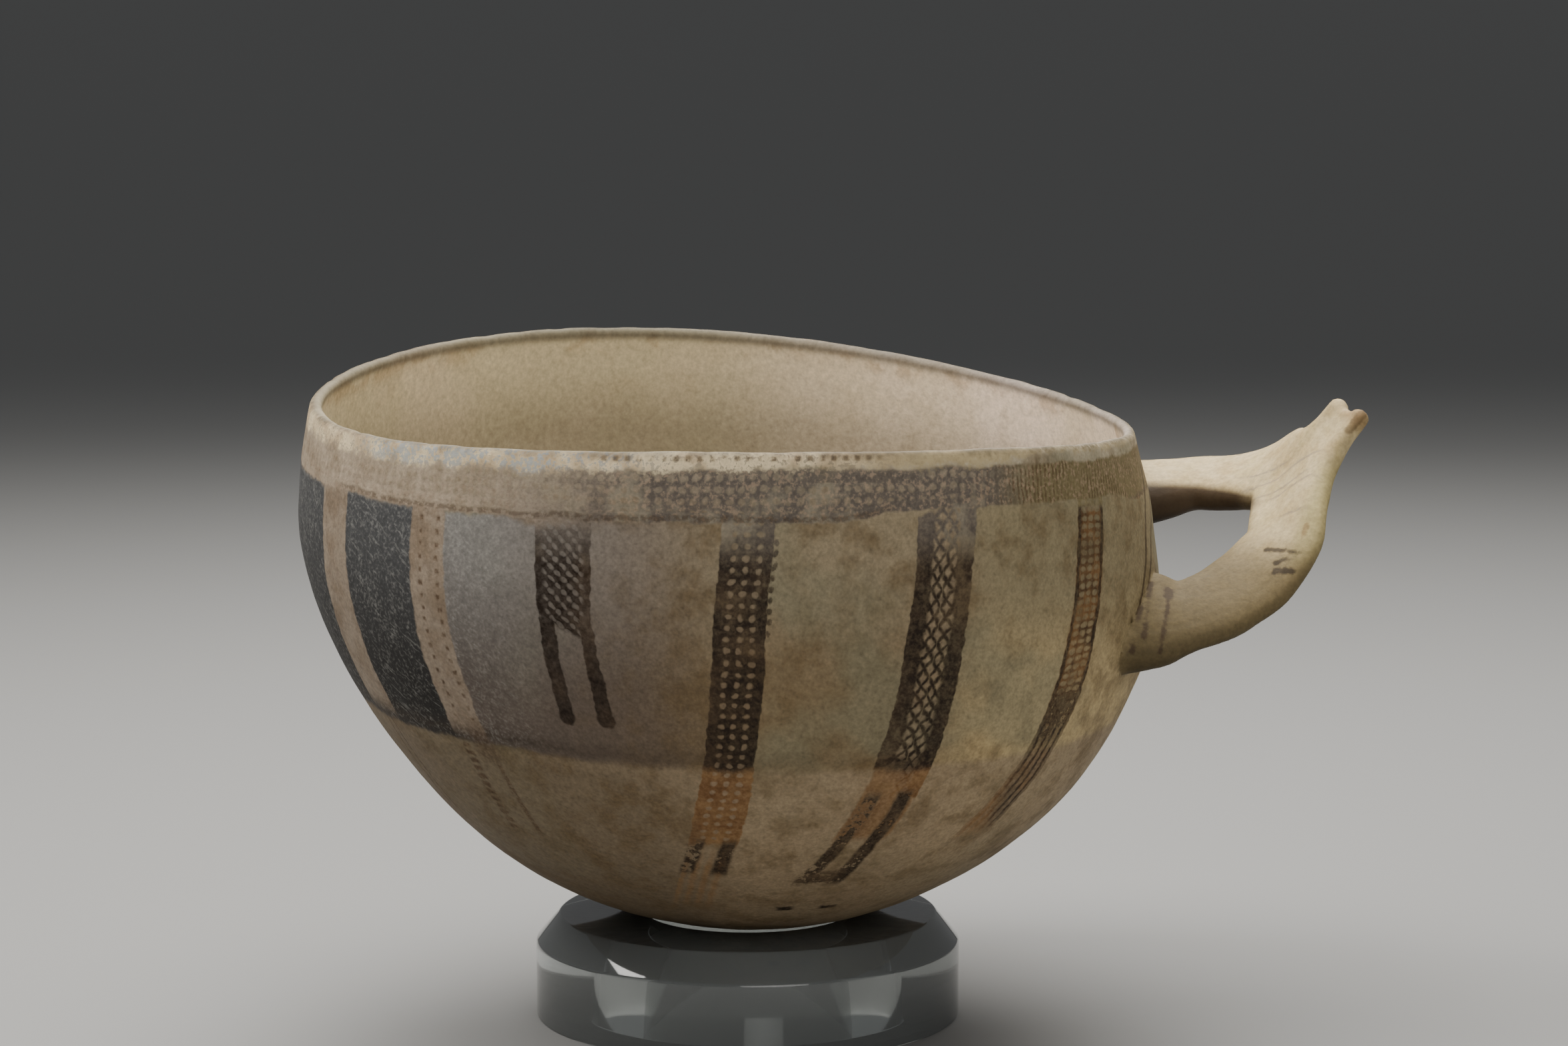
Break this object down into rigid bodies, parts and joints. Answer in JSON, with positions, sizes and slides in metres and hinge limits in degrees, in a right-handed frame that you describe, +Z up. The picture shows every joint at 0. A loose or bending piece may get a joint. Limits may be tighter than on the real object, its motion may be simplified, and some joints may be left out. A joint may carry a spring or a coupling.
{
  "type": "wishbone handle bowl",
  "caption": "Hemispherical bowl of painted fired clay with a forked wishbone handle at its rim, leaning slightly in a clear bevelled ring stand.",
  "frame": {"origin": "on the ground, under the middle of the whole object's box", "axes": "+Z up, +X from the bowl towards its handle, -Y towards the painted side that the picture shows"},
  "size_m": [0.2212, 0.1762, 0.1376],
  "materials": {
    "fired_clay": "cream slip, matt to faintly burnished, with worn dark brown and orange-brown lattice bands",
    "clear_acrylic": "clear and polished, faintly green at its edges"
  },
  "bodies": {
    "root": {"wishbone_handle_bowl": "fired_clay", "ring_stand": "clear_acrylic"}
  },
  "joints": []
}
